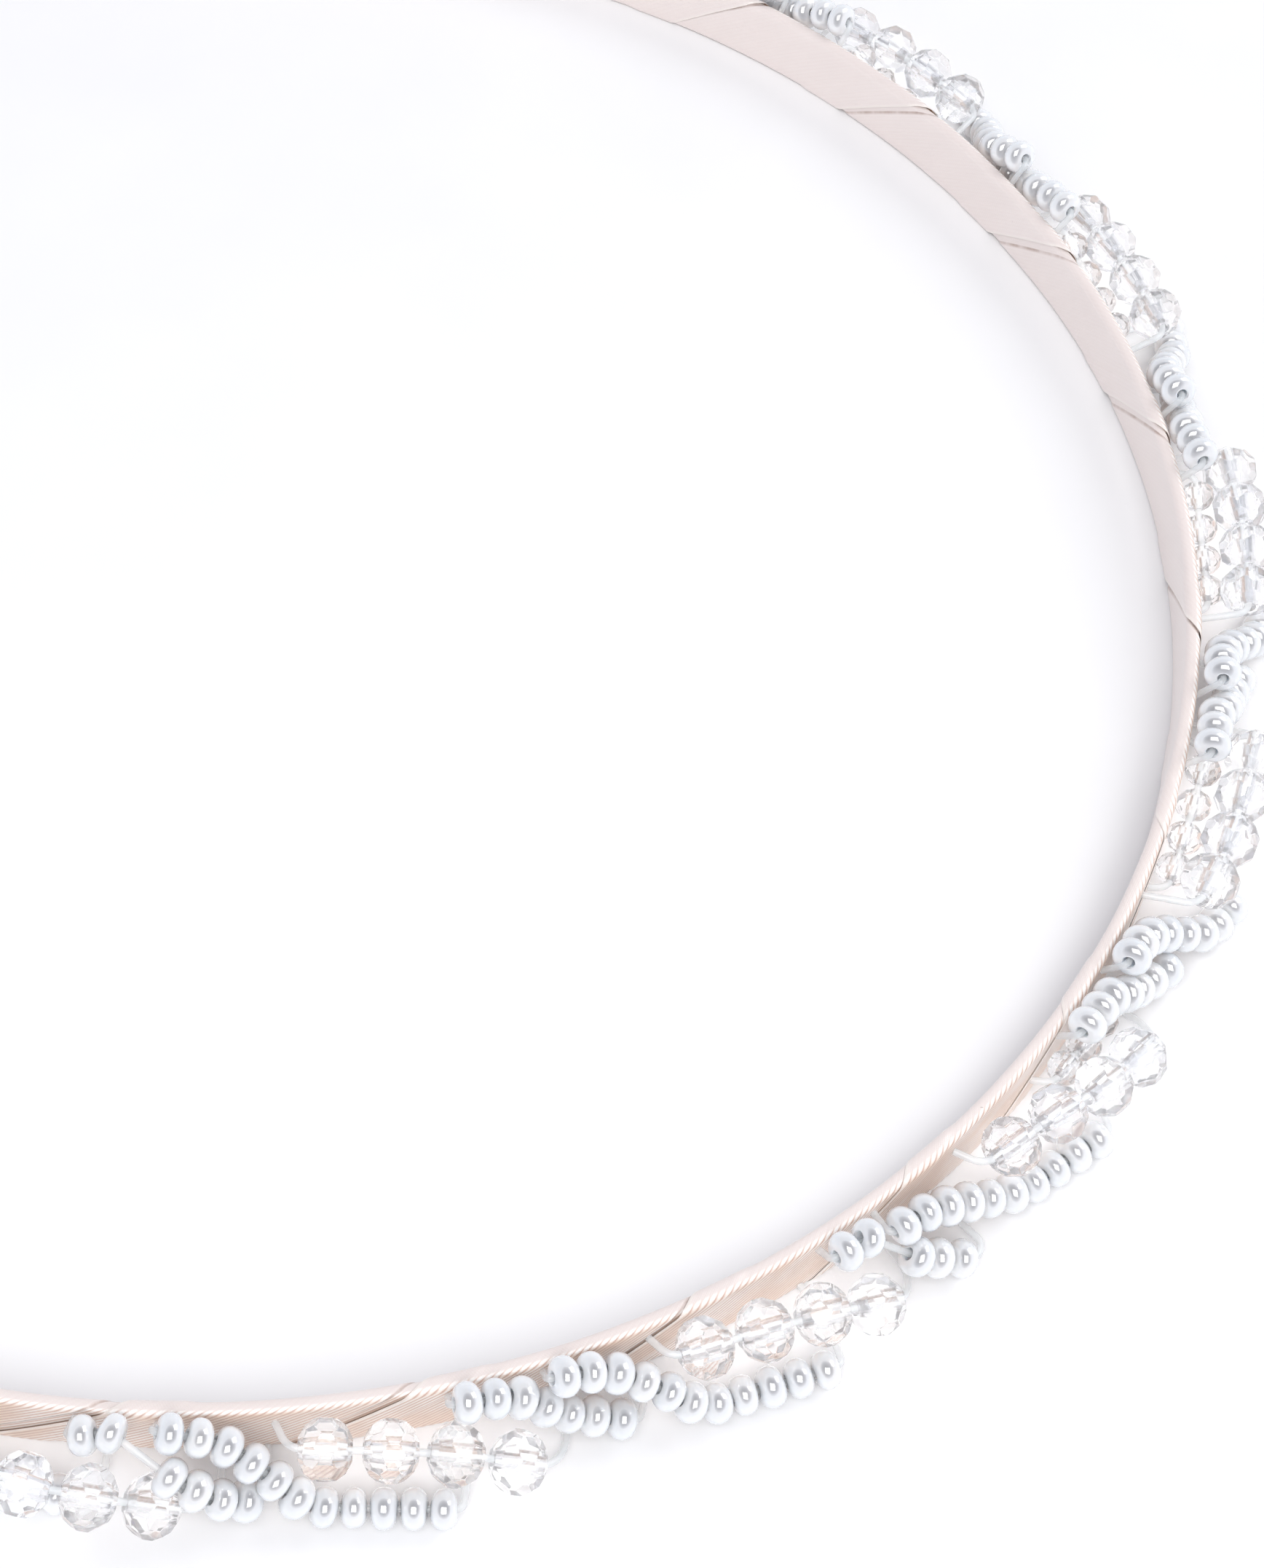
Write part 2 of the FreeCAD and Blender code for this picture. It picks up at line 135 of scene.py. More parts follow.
# ---- node helpers ---------------------------------------------------------------------------
class Nodes:
    """Short names for building one material's node tree."""

    def __init__(self, name):
        self.material = bpy.data.materials.new(name)
        self.material.use_nodes = True
        self.tree = self.material.node_tree
        self.shader = self.tree.nodes["Principled BSDF"]
        self.output = self.tree.nodes["Material Output"]

    def add(self, kind, **settings):
        node = self.tree.nodes.new(kind)
        for key, value in settings.items():
            setattr(node, key, value)
        return node

    def link(self, source, target):
        self.tree.links.new(source, target)

    def attribute(self, name):
        return self.add("ShaderNodeAttribute", attribute_name=name)

    def math(self, operation, first, second=0.0):
        node = self.add("ShaderNodeMath", operation=operation)
        for socket, value in zip(node.inputs, (first, second)):
            if hasattr(value, "links"):
                self.link(value, socket)
            else:
                socket.default_value = value
        return node.outputs[0]

    def noise(self, vector, scale, detail=3.0, roughness=0.5):
        node = self.add("ShaderNodeTexNoise")
        node.inputs["Scale"].default_value = scale
        node.inputs["Detail"].default_value = detail
        node.inputs["Roughness"].default_value = roughness
        self.link(vector, node.inputs["Vector"])
        return node.outputs["Fac"]

    def ramp(self, factor, *stops):
        node = self.add("ShaderNodeValToRGB")
        ramp = node.color_ramp
        while len(ramp.elements) < len(stops):
            ramp.elements.new(1.0)
        for element, (position, colour) in zip(ramp.elements, stops):
            element.position = position
            element.color = (*colour, 1.0)
        self.link(factor, node.inputs["Fac"])
        return node.outputs["Color"]

    def blend(self, factor, first, second):
        """A colour between first and second. second may be a socket or a colour."""
        node = self.add("ShaderNodeMix", data_type="RGBA")
        self.link(factor, node.inputs["Factor"])
        self.link(first, node.inputs["A"])
        if hasattr(second, "links"):
            self.link(second, node.inputs["B"])
        else:
            node.inputs["B"].default_value = second
        return node.outputs["Result"]

    def bump(self, height, strength, distance):
        node = self.add("ShaderNodeBump")
        node.inputs["Strength"].default_value = strength
        node.inputs["Distance"].default_value = distance
        self.link(height, node.inputs["Height"])
        return node.outputs["Normal"]

    def mapped(self, vector, scale):
        node = self.add("ShaderNodeMapping")
        node.inputs["Scale"].default_value = scale
        self.link(vector, node.inputs["Vector"])
        return node.outputs["Vector"]

    def mix_in_clear(self, share, tint):
        """Lets this share of the light go straight through, unbent."""
        clear = self.add("ShaderNodeBsdfTransparent")
        clear.inputs["Color"].default_value = tint
        mixed = self.add("ShaderNodeMixShader")
        self.link(share, mixed.inputs[0])
        self.link(self.shader.outputs[0], mixed.inputs[1])
        self.link(clear.outputs[0], mixed.inputs[2])
        self.link(mixed.outputs[0], self.output.inputs["Surface"])

    def set(self, **values):
        for key, value in values.items():
            self.shader.inputs[key.replace("_", " ")].default_value = value


def grey(value):
    """A colour with the same value in all three channels."""
    return (value, value, value)


# ---- materials ------------------------------------------------------------------------------
# Of these, the groove colour is painted shade in the rib hollows, the glint colour painted
# highlight, and the colour beside each lap a painted shadow.
GROOVE_SHADE_COLOUR = (0.58, 0.35, 0.28, 1.0)
GLINT_COLOUR = (1.0, 0.975, 0.95, 1.0)
SELVEDGE_COLOUR = (0.92, 0.85, 0.79, 1.0)
LAP_SHADOW_COLOUR = (0.42, 0.29, 0.24, 1.0)
DARK_SPECK_COLOUR = (0.16, 0.06, 0.045, 1.0)
SHEEN_COLOUR = (1.0, 0.95, 0.92, 1.0)
UNTINTED = (1.0, 1.0, 1.0, 1.0)
CRYSTAL_TINT = (0.99, 0.99, 1.0, 1.0)


def satin_material():
    """Blush satin ribbon. The attribute weave holds (along, across, selvedge), the first two in
    metres. Three more run from 0 to 1: outer on the band's outer face, fold on that face's upper
    edge, and the lap shadow beside each lap. Light and shade are painted into the colour: the
    outer face a warmer tan as painted warm shade and bounce light, painted shade in the rib
    hollows, painted highlights on the fold and on patches of rib tops, and a painted shadow
    beside each lap."""
    n = Nodes("satin_ribbon")
    weave = n.attribute("weave")
    split = n.add("ShaderNodeSeparateXYZ")
    n.link(weave.outputs["Vector"], split.inputs[0])
    along, across, selvedge = split.outputs
    streaks = n.noise(n.mapped(weave.outputs["Vector"], (160.0, 5200.0, 1.0)), 1.0, 4.0, 0.6)
    patches = n.noise(n.mapped(weave.outputs["Vector"], (140.0, 240.0, 1.0)), 1.0, 2.0, 0.5)
    warp = n.math("SINE", n.math("MULTIPLY", across, 2 * math.pi / WARP_YARN))
    weft = n.math("SINE", n.math("MULTIPLY", along, 2 * math.pi / WEFT_YARN))
    cloth = n.math("MULTIPLY", n.math("ADD", warp, 1.0), n.math("ADD", weft, 1.6))
    tone = n.math("ADD", n.math("MULTIPLY", streaks, 0.35), n.math("MULTIPLY", patches, 0.45))
    tone = n.math("ADD", tone, n.math("MULTIPLY", cloth, 0.035))
    outer, fold = n.attribute("outer").outputs["Fac"], n.attribute("fold").outputs["Fac"]
    rib = n.math("ABSOLUTE", n.math("SINE", n.math("MULTIPLY", across, math.pi / RIB)))
    # Painted shade in the hollows between the ribs, strongest on the outer face.
    groove_shade = n.math("POWER", n.math("SUBTRACT", 1.0, rib), 1.25)
    groove_shade = n.math("MULTIPLY", groove_shade, n.math("ADD", outer, 0.04))
    blush = n.ramp(tone, (0.2, (0.82, 0.725, 0.69)), (0.5, (0.85, 0.76, 0.725)),
                   (0.8, (0.87, 0.79, 0.76)))
    # The outer face gets a warmer tan than the inner face of the same ribbon: painted warm shade
    # and bounce light from the beads.
    painted_outer_tan = n.ramp(tone, (0.25, (0.84, 0.64, 0.51)), (0.5, (0.95, 0.78, 0.65)),
                 (0.75, (1.0, 0.92, 0.84)))
    colour = n.blend(outer, blush, painted_outer_tan)
    colour = n.blend(groove_shade, colour, GROOVE_SHADE_COLOUR)
    # Painted highlights: white on the rib tops in patches of the outer face, and along the fold at
    # that face's upper edge.
    painted_glint_patches = n.math("MULTIPLY", outer, n.ramp(patches, (0.42, grey(0.0)), (0.58, grey(0.75))))
    fold_glint = n.math("MULTIPLY", fold, n.ramp(rib, (0.25, grey(0.1)), (0.8, grey(1.0))))
    face_glint = n.math("MULTIPLY", painted_glint_patches, n.ramp(rib, (0.6, grey(0.0)), (0.92, grey(1.0))))
    glint = n.math("MAXIMUM", fold_glint, face_glint)
    colour = n.blend(glint, colour, GLINT_COLOUR)
    colour = n.blend(selvedge, colour, SELVEDGE_COLOUR)
    # Painted shadow on the lower layer just past the edge of each lap, broken up by noise.
    lap_shadow = n.attribute("lap_shadow").outputs["Fac"]
    breaks = n.noise(n.mapped(weave.outputs["Vector"], (420.0, 60.0, 1.0)), 1.0, 3.0, 0.7)
    shade = n.math("MULTIPLY", lap_shadow, n.ramp(breaks, (0.36, grey(0.3)), (0.6, grey(0.9))))
    colour = n.blend(shade, colour, LAP_SHADOW_COLOUR)
    # Small dark red-brown specks, scattered at random over the ribbon.
    specks = n.noise(n.mapped(weave.outputs["Vector"], (2600.0, 900.0, 1.0)), 1.0, 1.0, 0.4)
    dark_specks = n.math("MULTIPLY", n.ramp(specks, (0.74, grey(0.0)), (0.77, grey(1.0))),
                  n.ramp(breaks, (0.60, grey(0.0)), (0.64, grey(0.8))))
    colour = n.blend(dark_specks, colour, DARK_SPECK_COLOUR)
    n.link(colour, n.shader.inputs["Base Color"])
    n.link(n.ramp(streaks, (0.3, grey(0.31)), (0.7, grey(0.37))), n.shader.inputs["Roughness"])
    height = n.math("ADD", n.math("MULTIPLY", cloth, 0.3), n.math("MULTIPLY", streaks, 0.12))
    n.link(n.bump(height, 0.5, 0.015 * MM), n.shader.inputs["Normal"])
    n.set(Sheen_Weight=0.2, Sheen_Roughness=0.35, Specular_IOR_Level=0.95, Coat_Weight=0.25,
          Coat_Roughness=0.22)
    n.shader.inputs["Sheen Tint"].default_value = SHEEN_COLOUR
    return n.material


def pearl_material():
    """Milky glass with a pearl lustre, and a painted reflection: a grey ring round the middle that
    faces the camera, and lighter edges. The attribute bead is a random number for each bead.
    """
    n = Nodes("pearl_lustre")
    place = n.attribute("local").outputs["Vector"]
    bead = n.attribute("bead").outputs["Fac"]
    clouds = n.noise(place, 1.6, 3.0, 0.6)
    tone = n.math("ADD", n.math("MULTIPLY", clouds, 0.6), n.math("MULTIPLY", bead, 0.4))
    body = n.ramp(tone, (0.2, (0.76, 0.775, 0.79)), (0.5, (0.81, 0.815, 0.82)),
                  (0.8, (0.85, 0.845, 0.835)))
    # Painted reflection: grey where the bead faces the camera, standing in for the dark ceiling
    # round the softbox, lighter towards the edges.
    facing = n.add("ShaderNodeLayerWeight")
    facing.inputs["Blend"].default_value = 0.5
    painted_reflection_ring = n.ramp(facing.outputs["Facing"],
                  (0.02, (0.52, 0.515, 0.525)), (0.065, (0.66, 0.655, 0.67)),
                  (0.12, (0.95, 0.95, 0.96)), (0.45, (1.05, 1.07, 1.09)), (0.9, (0.90, 0.92, 0.95)))
    lustre = n.add("ShaderNodeMix", data_type="RGBA", blend_type="MULTIPLY")
    lustre.inputs["Factor"].default_value = 1.0
    n.link(body, lustre.inputs["A"])
    n.link(painted_reflection_ring, lustre.inputs["B"])
    n.link(lustre.outputs["Result"], n.shader.inputs["Base Color"])
    n.link(n.ramp(clouds, (0.3, grey(0.12)), (0.7, grey(0.2))), n.shader.inputs["Roughness"])
    n.link(n.bump(n.noise(place, 5.0, 2.0), 0.06, 0.05 * MM), n.shader.inputs["Normal"])
    n.set(IOR=1.6, Coat_Weight=1.0, Coat_Roughness=0.05, Coat_IOR=2.2,
          Subsurface_Weight=0.45, Subsurface_Scale=0.6 * MM)
    n.shader.inputs["Subsurface Radius"].default_value = (0.9, 1.0, 1.1)
    return n.material


def crystal_material():
    """Clear cut glass, with bright shadows as real cut glass throws. The attribute bead is a
    random number for each bead."""
    n = Nodes("cut_crystal")
    place = n.attribute("local").outputs["Vector"]
    bead = n.attribute("bead").outputs["Fac"]
    film = n.noise(place, 2.4, 3.0, 0.6)
    colour = n.ramp(n.math("ADD", n.math("MULTIPLY", film, 0.5), n.math("MULTIPLY", bead, 0.5)),
                    (0.2, (0.985, 0.99, 1.0)), (0.8, (1.0, 0.995, 0.985)))
    n.link(colour, n.shader.inputs["Base Color"])
    n.link(n.ramp(film, (0.4, grey(0.0)), (0.8, grey(0.03))), n.shader.inputs["Roughness"])
    n.set(Transmission_Weight=0.97, IOR=1.54)
    shadow = n.add("ShaderNodeLightPath").outputs["Is Shadow Ray"]
    veil = n.ramp(film, (0.3, grey(0.10)), (0.7, grey(0.2)))
    share = n.math("MAXIMUM", n.math("MULTIPLY", shadow, 0.94), veil)
    n.mix_in_clear(share, CRYSTAL_TINT)
    return n.material


def thread_material():
    """Clear nylon line, a little milky."""
    n = Nodes("clear_line")
    place = n.add("ShaderNodeTexCoord").outputs["Object"]
    cloud = n.noise(place, 900.0, 2.0)
    n.link(n.ramp(cloud, (0.3, (0.90, 0.94, 0.96)), (0.7, (0.97, 0.985, 0.99))),
           n.shader.inputs["Base Color"])
    n.link(n.ramp(cloud, (0.3, grey(0.08)), (0.7, grey(0.2))), n.shader.inputs["Roughness"])
    n.set(Transmission_Weight=0.2, IOR=1.53, Coat_Weight=0.5, Coat_Roughness=0.06)
    n.mix_in_clear(n.ramp(cloud, (0.3, grey(0.46)), (0.7, grey(0.58))), UNTINTED)
    return n.material


def steel_material():
    """Spring steel with rolling marks along its length."""
    n = Nodes("spring_steel")
    place = n.add("ShaderNodeTexCoord").outputs["Object"]
    lines = n.noise(n.mapped(place, (300.0, 300.0, 9000.0)), 1.0, 3.0)
    n.link(n.ramp(lines, (0.3, grey(0.42)), (0.7, grey(0.62))), n.shader.inputs["Base Color"])
    n.link(n.ramp(lines, (0.3, grey(0.22)), (0.7, grey(0.4))), n.shader.inputs["Roughness"])
    n.set(Metallic=1.0)
    return n.material


def floor_material():
    """Matt white studio sheet."""
    n = Nodes("studio_sheet")
    place = n.add("ShaderNodeTexCoord").outputs["Object"]
    grain = n.noise(place, 60.0, 3.0)
    n.link(n.ramp(grain, (0.3, (0.90, 0.90, 0.905)), (0.7, (0.92, 0.92, 0.925))),
           n.shader.inputs["Base Color"])
    n.set(Roughness=0.9, Specular_IOR_Level=0.15)
    return n.material


# ---- mesh helpers ---------------------------------------------------------------------------
def make_object(name, points, faces, smooth, attributes, material):
    """A mesh object from arrays. attributes maps a name to one value or vector a point."""
    mesh = bpy.data.meshes.new(name)
    mesh.from_pydata(np.asarray(points).tolist(), [], [tuple(f) for f in faces])
    mesh.polygons.foreach_set("use_smooth", np.full(len(mesh.polygons), smooth))
    for key, values in attributes.items():
        values = np.asarray(values, np.float32)
        kind, slot = ("FLOAT", "value") if values.ndim == 1 else ("FLOAT_VECTOR", "vector")
        layer = mesh.attributes.new(key, kind, "POINT")
        layer.data.foreach_set(slot, values.ravel())
    mesh.materials.append(material)
    made = bpy.data.objects.new(name, mesh)
    bpy.context.scene.collection.objects.link(made)
    return made


def grid_faces(rows, columns):
    """Quads of a grid of points, whose points are numbered row by row."""
    first = np.arange(rows - 1)[:, None] * columns + np.arange(columns - 1)
    quads = np.stack([first, first + 1, first + columns + 1, first + columns], axis=-1)
    return quads.reshape(-1, 4)


def place_piece(piece, slot, *nodes):
    """Puts a detailed piece in the place of its CAD nodes."""
    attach(piece, "root")
    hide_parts(*nodes)


# ---- the ribbon's wrap ----------------------------------------------------------------------
RIBBON_WIDTH = 12.7 * MM     # a half-inch satin ribbon, wound in a spiral
RIBBON_STEP = 17.6 * MM      # from one turn to the next, along the band
RIBBON_START = 8.0 * MM
RIBBON_WANDER = 1.6 * MM     # hand winding, over eight turns
RIBBON_END_GAP = 3 * MM      # the tip covers hide the ribbon's ends
EDGE_ROUND = 0.42 * MM
CLOTH = 0.10 * MM            # thickness of one layer
RIB = 0.35 * MM              # satin's cords, along the ribbon
RIB_DEPTH = 0.036 * MM
SAMPLES_PER_RIB = 4
FLAT_RIB = 0.12              # depth of the ribs on the other faces, as a share of RIB_DEPTH
OUTER_FROM, OUTER_TO = 0.6 * BAND_THICKNESS, 0.95 * BAND_THICKNESS   # the outer look fades in
LAP_EASE, UNDER_EASE = 0.7 * MM, 0.3 * MM        # how far a lap takes to come down
SLACK_DEPTH = 0.012 * MM
SLACK_ALONG, SLACK_ACROSS, SLACK_DRIFT = 2.9 * MM, 1.9 * MM, 7.0 * MM
FACE_PARTS, EDGE_PARTS, CORNER_PARTS = 9, 2, 5
WARP_YARN = 0.117 * MM
WEFT_YARN = 0.16 * MM
PERIMETER = (2 * (BAND_WIDTH + BAND_THICKNESS) - 8 * EDGE_ROUND + 2 * math.pi * EDGE_ROUND)
SLANT = math.atan2(RIBBON_STEP, PERIMETER)
LAP = RIBBON_WIDTH - RIBBON_STEP * math.cos(SLANT)


def section_point(q, outset):
    """(d, z) on the band's rounded section at q round it, moved out by outset.
    q runs down the inner face, under the lower edge, up the outer face and over the top."""
    q = np.mod(q, PERIMETER)
    q = np.where(q > PERIMETER - 1e-6 * MM, 0.0, q)
    flat_z, flat_d = BAND_WIDTH - 2 * EDGE_ROUND, BAND_THICKNESS - 2 * EDGE_ROUND
    arc = math.pi / 2 * EDGE_ROUND
    z, d = np.zeros_like(q), np.zeros_like(q)
    radius = EDGE_ROUND + outset
    start = 0.0
    corners = ((EDGE_ROUND, BAND_WIDTH - EDGE_ROUND, 180.0, flat_z, 0, -1),
               (EDGE_ROUND, EDGE_ROUND, 270.0, flat_d, 1, 0),
               (BAND_THICKNESS - EDGE_ROUND, EDGE_ROUND, 0.0, flat_z, 0, 1),
               (BAND_THICKNESS - EDGE_ROUND, BAND_WIDTH - EDGE_ROUND, 90.0, flat_d, -1, 0))
    for corner_d, corner_z, angle, flat, step_d, step_z in corners:
        out = math.radians(angle)
        on_flat = (q >= start) & (q < start + flat)
        run = q - start
        d = np.where(on_flat, corner_d + step_d * run + radius * math.cos(out), d)
        z = np.where(on_flat, corner_z + step_z * run + radius * math.sin(out), z)
        start += flat
        end_d, end_z = corner_d + step_d * flat, corner_z + step_z * flat
        turn = out + (q - start) / EDGE_ROUND
        on_arc = (q >= start) & (q < start + arc)
        d = np.where(on_arc, end_d + radius * np.cos(turn), d)
        z = np.where(on_arc, end_z + radius * np.sin(turn), z)
        start += arc
    return d, z


def section_stops():
    """Places round the section: close at its two edges, wider on its faces."""
    arc = math.pi / 2 * EDGE_ROUND
    stops, start = [], 0.0
    face = (BAND_WIDTH - 2 * EDGE_ROUND, FACE_PARTS)
    edge = (BAND_THICKNESS - 2 * EDGE_ROUND, EDGE_PARTS)
    for flat, parts in (face, edge, face, edge):
        stops += [start + flat * i / parts for i in range(parts)]
        start += flat
        stops += [start + arc * i / CORNER_PARTS for i in range(CORNER_PARTS)]
        start += arc
    return np.array(stops)


def smooth_step(low, high, x):
    """0 below low, 1 above high, and an even rise between them."""
    t = np.clip((x - low) / (high - low), 0.0, 1.0)
    return t * t * (3 - 2 * t)


def make_ribbon(material):
    """One strip of ribbon wound round the band, each turn lapping over the one before."""
    reach = HALF_LENGTH - RIBBON_END_GAP
    turns = int(HALF_LENGTH / RIBBON_STEP) + 2
    stops = section_stops()
    q = np.concatenate([stops + PERIMETER * turn for turn in range(-turns, turns)])
    samples = int(RIBBON_WIDTH / RIB * SAMPLES_PER_RIB)
    b = np.linspace(-RIBBON_WIDTH / 2, RIBBON_WIDTH / 2, samples)
    turn = (q / PERIMETER)[:, None]
    wander = -RIBBON_WANDER * np.cos((turn - 0.5) * math.pi / 4)
    s = RIBBON_START + RIBBON_STEP * turn + wander + b / math.cos(SLANT)
    from_lap = b + RIBBON_WIDTH / 2
    base_d, base_z = section_point(q, 0.0)
    # outer marks the outer face: deeper ribs there, and the material paints its warmer tan shade,
    # groove shade and highlights.
    outer = smooth_step(OUTER_FROM, OUTER_TO, base_d)[:, None]
    over = 1 - smooth_step(LAP, LAP + LAP_EASE, from_lap)
    under = smooth_step(RIBBON_WIDTH - LAP - UNDER_EASE, RIBBON_WIDTH - LAP, from_lap)
    edge = np.minimum(from_lap, RIBBON_WIDTH - from_lap)
    ribs = RIB_DEPTH * (np.abs(np.sin(math.pi * b / RIB)) - 0.6)
    ribs = ribs * smooth_step(0.0, 0.5 * MM, edge)
    selvedge_roll = -0.5 * CLOTH * (1 - smooth_step(0.0, 0.12 * MM, edge))
    rise = CLOTH * (over - 0.9 * under) - 0.45 * CLOTH + selvedge_roll
    along = (q[:, None] + b * math.sin(SLANT)) / math.cos(SLANT)
    slack = SLACK_DEPTH * np.sin(along / SLACK_ALONG)
    slack = slack * np.sin(b / SLACK_ACROSS + along / SLACK_DRIFT)
    rise = rise[None, :] + ribs * (FLAT_RIB + (1 - FLAT_RIB) * outer) + slack
    d, z = section_point(q[:, None] + 0 * b, rise)
    z = np.maximum(z, 0.0)
    inside = np.abs(s) <= reach
    points = band_points(np.clip(s, -reach, reach), z, d).reshape(-1, 3)
    faces = grid_faces(len(q), samples)
    faces = faces[inside.reshape(-1)[faces].any(axis=1)][:, ::-1]
    selvedge = 0.8 * (1 - smooth_step(0.08 * MM, 0.25 * MM, edge)) + 0 * along
    weave = np.stack([along, b + 0 * along, selvedge], axis=-1).reshape(-1, 3)
    # Where the ribbon passes over the outer face's upper edge; the material paints a highlight
    # there.
    corner = np.hypot(base_d - 0.84 * BAND_THICKNESS, base_z - BAND_WIDTH + 0.03 * MM)[:, None]
    fold = 1 - smooth_step(0.06 * MM, 0.26 * MM, corner)
    # Just past the edge of the layer lapped over it, where the material paints a shadow on the
    # layer below.
    past_lap_edge = RIBBON_WIDTH - LAP - from_lap
    lap_shadow = smooth_step(-0.02 * MM, 0.0, past_lap_edge)
    lap_shadow = lap_shadow * (1 - smooth_step(0.08 * MM, 0.3 * MM, past_lap_edge))
    attributes = {"weave": weave}
    for key, values in (("outer", outer), ("fold", fold), ("lap_shadow", lap_shadow)):
        attributes[key] = (values + 0 * along).ravel()
    ribbon = make_object("ribbon_wrap_satin", points, faces, True, attributes, material)
    drop_loose(ribbon.data)
    place_piece(ribbon, "ribbon", "ribbon_wrap")


def drop_loose(mesh):
    """Deletes points that no face uses."""
    work = bmesh.new()
    work.from_mesh(mesh)
    bmesh.ops.delete(work, geom=[v for v in work.verts if not v.link_faces], context="VERTS")
    work.to_mesh(mesh)
    work.free()


# ---- beads ----------------------------------------------------------------------------------
# Lengths are shares of a bead's own radius, apart from POINT_WELD, which is in metres.
PEARL_HALF, PEARL_HOLE, PEARL_LIP = 0.645, 0.30, 0.12
PEARL_RINGS, PEARL_SEGMENTS = 15, 30
PEARL_BELLY_ANGLE = 78       # degrees from the belly to where the lip starts
PEARL_BELLY_ROUND, PEARL_END_ROUND = 0.82, 0.92
PEARL_LEAN, PEARL_SQUASH = 0.06, 0.02
# Steps of the lip: (share of the lip out from the hole, height above the belly's end).
LIP_STEPS = ((0.55, 0.012), (0.12, -0.03), (0.0, -0.12))
CRYSTAL_END, CRYSTAL_HOLE, CRYSTAL_BEVEL = 0.87, 0.25, 0.016
CRYSTAL_BLANK = 2.4          # side of the cube that a crystal is cut from
CRYSTAL_WELD = 0.004         # corners closer than this become one
HOLE_SIDES = 12
FACETS_PER_RING = 8
FACET_TURN_ERROR, FACET_TILT_ERROR, DEEPEST_FACET = 2.0, 1.6, 0.985
# Each ring of facets is (tilt from the belly in degrees, share of one facet that the ring is
# turned by, distance from the centre).
FACET_RINGS = ((0.0, 0.5, 0.965), (34.0, 0.0, 0.96), (-34.0, 0.0, 0.96),
               (62.0, 0.5, 0.94), (-62.0, 0.5, 0.94))
BEAD_NOISE_GAP = 7.0         # between one bead's place in the noise and the next bead's
POINT_WELD = 0.5e-3 * MM     # CAD points closer than this are one


def bead_solids(node):
    """The points of each bead in a CAD node, in their order along the band."""
    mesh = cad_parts[node].data
    points = np.empty(len(mesh.vertices) * 3, np.float32)
    mesh.vertices.foreach_get("co", points)
    points = points.reshape(-1, 3).astype(float)
    edges = np.empty(len(mesh.edges) * 2, np.int32)
    mesh.edges.foreach_get("vertices", edges)
    _, weld = np.unique(np.round(points / POINT_WELD).astype(np.int64), axis=0,
                        return_inverse=True)
    weld = weld.ravel()
    edges = weld[edges].reshape(-1, 2)
    label = np.arange(weld.max() + 1)
    while True:
        low = np.minimum(label[edges[:, 0]], label[edges[:, 1]])
        lower = label.copy()
        np.minimum.at(lower, edges[:, 0], low)
        np.minimum.at(lower, edges[:, 1], low)
        lower = lower[lower]
        if (lower == label).all():
            break
        label = lower
    solid = label[weld]
    beads = [points[solid == k] for k in np.unique(solid)]
    return sorted(beads, key=lambda bead: nearest_s(bead.mean(axis=0)))


def bead_places(node):
    """(centre, axis, radius) of each bead in a CAD node; the axis runs along the thread."""
    beads = bead_solids(node)
    middles = [(bead.max(axis=0) + bead.min(axis=0)) / 2 for bead in beads]
    places = []
    for index, bead in enumerate(beads):
        axis = Vector(middles[min(index + 1, len(beads) - 1)] - middles[max(index - 1, 0)])
        axis.normalize()
        turn = np.array(axis.to_track_quat("Z", "Y").to_matrix())
        local = bead @ turn
        low, high = local.min(axis=0), local.max(axis=0)
        centre = turn @ ((low + high) / 2)
        places.append((centre, turn, float((high - low)[:2].mean() / 2)))
    return places


def pearl_template(rng):
    """A seed bead of radius 1 with its hole along z: rounded barrel, lips rolled into the hole."""
    half, hole, lip = PEARL_HALF, PEARL_HOLE, PEARL_LIP
    profile = []
    for i in range(PEARL_RINGS):
        step = 2 * PEARL_BELLY_ANGLE * i / (PEARL_RINGS - 1)
        angle = math.radians(-PEARL_BELLY_ANGLE + step)
        c, sn = math.cos(angle), math.sin(angle)
        profile.append((abs(c) ** PEARL_BELLY_ROUND,
                        math.copysign(abs(sn) ** PEARL_END_ROUND, sn) * half))
    belly = [(hole + lip + (r - profile[0][0]) * (1 - hole - lip) / (1 - profile[0][0]), z)
             for r, z in profile]
    top = belly[-1][1]
    lip_top = [(hole + lip * out, top + rise) for out, rise in LIP_STEPS]
    outline = [(r, -z) for r, z in reversed(lip_top)] + belly + lip_top + [(hole, 0.0)]
    segments = PEARL_SEGMENTS
    lean = rng.uniform(-PEARL_LEAN, PEARL_LEAN)
    squash = rng.uniform(-PEARL_SQUASH, PEARL_SQUASH)
    phase = rng.uniform(0, 2 * math.pi)
    points = []
    for r, z in outline:
        for k in range(segments):
            turn = 2 * math.pi * k / segments
            wide = r * (1 + squash * math.cos(2 * (turn + phase)))
            tall = z * (1 + lean * math.cos(turn + phase))
            points.append((wide * math.cos(turn), wide * math.sin(turn), tall))
    rows = len(outline)
    faces = []
    for row in range(rows):
        below = (row + 1) % rows
        for k in range(segments):
            after = (k + 1) % segments
            faces.append((row * segments + k, row * segments + after,
                          below * segments + after, below * segments + k))
    return np.array(points), np.array(faces)


